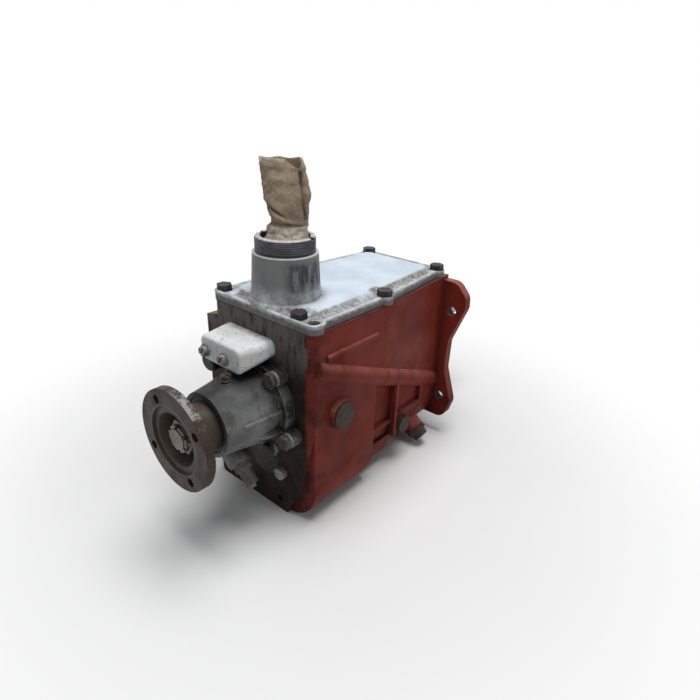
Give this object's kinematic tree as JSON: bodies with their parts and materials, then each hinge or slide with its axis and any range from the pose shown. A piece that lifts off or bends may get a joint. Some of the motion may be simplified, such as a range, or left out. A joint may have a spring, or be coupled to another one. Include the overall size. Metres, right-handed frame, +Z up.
{
  "type": "gearbox",
  "caption": "Four-speed truck gearbox with a red case, an open lever tower and an output flange.",
  "frame": {"origin": "where the shaft line meets the front mounting face", "axes": "+X forward along the shaft line to the engine, +Y to the left, +Z up"},
  "size_m": [0.597, 0.2256, 0.437],
  "materials": {
    "case_paint": "matt",
    "cast_aluminium": "rough",
    "block_paint": "satin",
    "dark_steel": "satin",
    "rusty_steel": "rough",
    "plated_steel": "satin",
    "gasket_paper": "matt",
    "seal_rubber": "matt",
    "rag_cloth": "matt",
    "synchro_brass": "satin",
    "gear_steel": "satin"
  },
  "bodies": {
    "case": {"gearbox_case": "case_paint", "cover_gasket": "gasket_paper", "top_cover": "cast_aluminium", "cover_bolts": "dark_steel", "bolt_washers": "dark_steel", "cloth_plug": "rag_cloth", "rear_cover": "cast_aluminium", "rear_cover_gasket": "gasket_paper", "rear_cover_bolts": "dark_steel", "output_oil_seal": "seal_rubber", "breather_plug": "dark_steel", "rail_end_cover": "block_paint", "end_cover_screws": "dark_steel", "reverse_rail_cap": "dark_steel", "side_plug": "dark_steel", "filler_plug": "dark_steel", "drain_plug": "dark_steel", "rear_face_plug": "plated_steel", "countershaft_front_plug": "dark_steel", "countershaft_rear_plug": "dark_steel", "idler_shaft": "gear_steel", "front_cover": "cast_aluminium", "front_cover_bolts": "dark_steel", "input_oil_seal": "seal_rubber", "input_bearing": "gear_steel", "output_bearing": "gear_steel", "countershaft_front_bearing": "gear_steel", "countershaft_rear_bearing": "gear_steel", "detent_balls": "gear_steel", "detent_springs": "gear_steel", "speedometer_sleeve": "plated_steel"},
    "input": {"input_shaft": "gear_steel", "input_bearing_race": "gear_steel", "pilot_rollers": "gear_steel"},
    "countershaft_set": {"countershaft": "gear_steel", "countershaft_drive_gear": "gear_steel", "countershaft_third_gear": "gear_steel", "countershaft_second_gear": "gear_steel", "countershaft_bearing_races": "gear_steel"},
    "third": {"third_gear": "gear_steel"},
    "second": {"second_gear": "gear_steel"},
    "output": {"output_shaft": "gear_steel", "thrust_rings": "gear_steel", "synchro_hub": "gear_steel", "synchro_rings": "synchro_brass", "output_bearing_race": "gear_steel", "speedometer_worm": "gear_steel", "output_flange": "rusty_steel", "flange_washer": "rusty_steel", "flange_nut": "rusty_steel"},
    "low": {"low_gear": "gear_steel"},
    "sleeve": {"synchro_sleeve": "gear_steel"},
    "shift_high": {"high_rail": "gear_steel", "high_fork": "gear_steel"},
    "shift_low": {"low_rail": "gear_steel", "low_fork": "gear_steel"},
    "shift_back": {"reverse_rail": "gear_steel", "reverse_fork": "gear_steel"},
    "idler": {"idler_gear": "gear_steel"},
    "speedometer": {"speedometer_gear": "gear_steel"}
  },
  "joints": [
    {"name": "countershaft_spin", "type": "hinge", "parent": "case", "child": "countershaft_set", "pos_m": [-0.1, 0, -0.085], "axis": [1, 0, 0], "continuous": true},
    {"name": "input_spin", "type": "hinge", "parent": "case", "child": "input", "pos_m": [-0.01, 0, 0], "axis": [1, 0, 0], "continuous": true},
    {"name": "output_spin", "type": "hinge", "parent": "case", "child": "output", "pos_m": [-0.29, 0, 0], "axis": [1, 0, 0], "continuous": true},
    {"name": "third_gear_spin", "type": "hinge", "parent": "case", "child": "third", "pos_m": [-0.12, 0, 0], "axis": [1, 0, 0], "continuous": true},
    {"name": "second_gear_spin", "type": "hinge", "parent": "case", "child": "second", "pos_m": [-0.155, 0, 0], "axis": [1, 0, 0], "continuous": true},
    {"name": "shift_34", "type": "slide", "parent": "case", "child": "shift_high", "axis": [-1, 0, 0], "range_m": [-0.0125, 0.0125]},
    {"name": "shift_12", "type": "slide", "parent": "case", "child": "shift_low", "axis": [-1, 0, 0], "range_m": [-0.01, 0.022]},
    {"name": "shift_reverse", "type": "slide", "parent": "case", "child": "shift_back", "axis": [-1, 0, 0], "range_m": [0, 0.031]},
    {"name": "sleeve_slide", "type": "slide", "parent": "output", "child": "sleeve", "axis": [-1, 0, 0], "range_m": [-0.0125, 0.0125]},
    {"name": "low_gear_slide", "type": "slide", "parent": "output", "child": "low", "axis": [-1, 0, 0], "range_m": [-0.01, 0.022]},
    {"name": "idler_spin", "type": "hinge", "parent": "shift_back", "child": "idler", "pos_m": [-0.197, 0.04887, -0.06955], "axis": [1, 0, 0], "continuous": true},
    {"name": "speedometer_spin", "type": "hinge", "parent": "case", "child": "speedometer", "pos_m": [-0.354, 0.02546, -0.02546], "axis": [0, -0.7071, -0.7071], "continuous": true}
  ],
  "couplings": [
    {"joint": "input_spin", "follows": "countershaft_spin", "ratio": -3},
    {"joint": "third_gear_spin", "follows": "countershaft_spin", "ratio": -2},
    {"joint": "second_gear_spin", "follows": "countershaft_spin", "ratio": -1},
    {"joint": "idler_spin", "follows": "countershaft_spin", "ratio": -0.70833},
    {"joint": "sleeve_slide", "follows": "shift_34", "ratio": 1},
    {"joint": "low_gear_slide", "follows": "shift_12", "ratio": 1},
    {"joint": "speedometer_spin", "follows": "output_spin", "ratio": 0.25}
  ]
}
